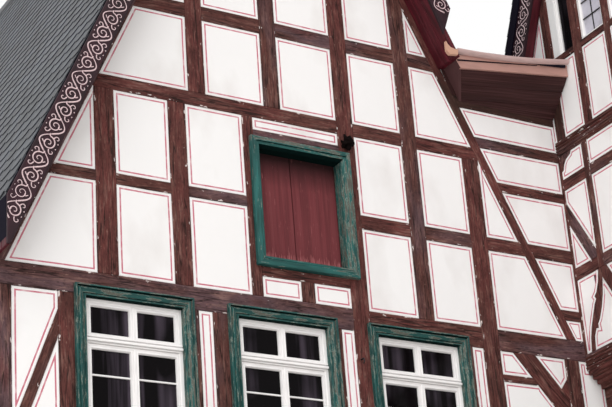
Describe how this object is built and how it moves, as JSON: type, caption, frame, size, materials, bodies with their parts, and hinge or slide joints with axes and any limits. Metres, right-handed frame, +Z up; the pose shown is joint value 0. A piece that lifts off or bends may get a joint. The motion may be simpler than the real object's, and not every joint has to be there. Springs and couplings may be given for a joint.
{
  "type": "half timbered house",
  "caption": "Half timbered house with a steep front gable, a jettied side wing at right angles and a low link roof between them",
  "frame": {"origin": "inner corner of the two wings at ground level, on the underside of the plinth", "axes": "+Z up, the front gable faces -Y, the side wing's gable faces -X"},
  "size_m": [12.66, 14.71, 17.1332],
  "materials": {
    "timber": "weathered brown paint",
    "infill": "matt lime plaster",
    "party_wall": "matt plaster",
    "plinth": "dressed sandstone",
    "floor": "bare boards",
    "roof": "slate",
    "verge": "dark red paint",
    "eave": "dark brown paint",
    "gutter": "weathered paint",
    "hatch_frame": "weathered green paint",
    "hatch": "weathered red brown boards",
    "casing": "weathered green paint",
    "window": "cream paint",
    "glass": "clear",
    "door": "oiled",
    "knob": "dark carved wood"
  },
  "bodies": {
    "root": {"front_wall_posts": "timber", "front_wall_beams": "timber", "front_wall_rails": "timber", "link_wall_rails": "timber", "front_wall_braces": "timber", "front_wall_infill": "infill", "gable_rafters": "timber", "wing_wall_posts": "timber", "wing_wall_beams": "timber", "wing_wall_rails": "timber", "wing_wall_braces": "timber", "wing_wall_infill": "infill", "jetty_moulding": "timber", "side_wall_beams": "timber", "side_wall_posts": "timber", "side_wall_sills": "timber", "side_wall_infill": "infill", "cross_plinths": "plinth", "long_plinths": "plinth", "front_party_wall": "party_wall", "wing_party_wall": "party_wall", "front_floor_slabs": "floor", "wing_floor_slabs": "floor", "front_roof_right": "roof", "front_roof_left": "roof", "wing_roof_north": "roof", "wing_roof_south": "roof", "valley_roof": "roof", "ridge_caps": "roof", "link_roof": "roof", "link_rear_wall": "infill", "link_soffit": "eave", "link_box_boards": "verge", "link_gutter": "gutter", "right_verge_planks": "verge", "left_verge_planks": "verge", "right_scroll_boards": "verge", "left_scroll_boards": "verge", "hatch_frame": "hatch_frame", "hatch_leaves": "hatch", "window_casings": "casing", "window_frames": "window", "window_glass": "glass", "wing_window_frames": "window", "wing_window_glass": "glass", "door_frame": "door", "front_door": "door", "carved_knob": "knob"}
  },
  "joints": []
}
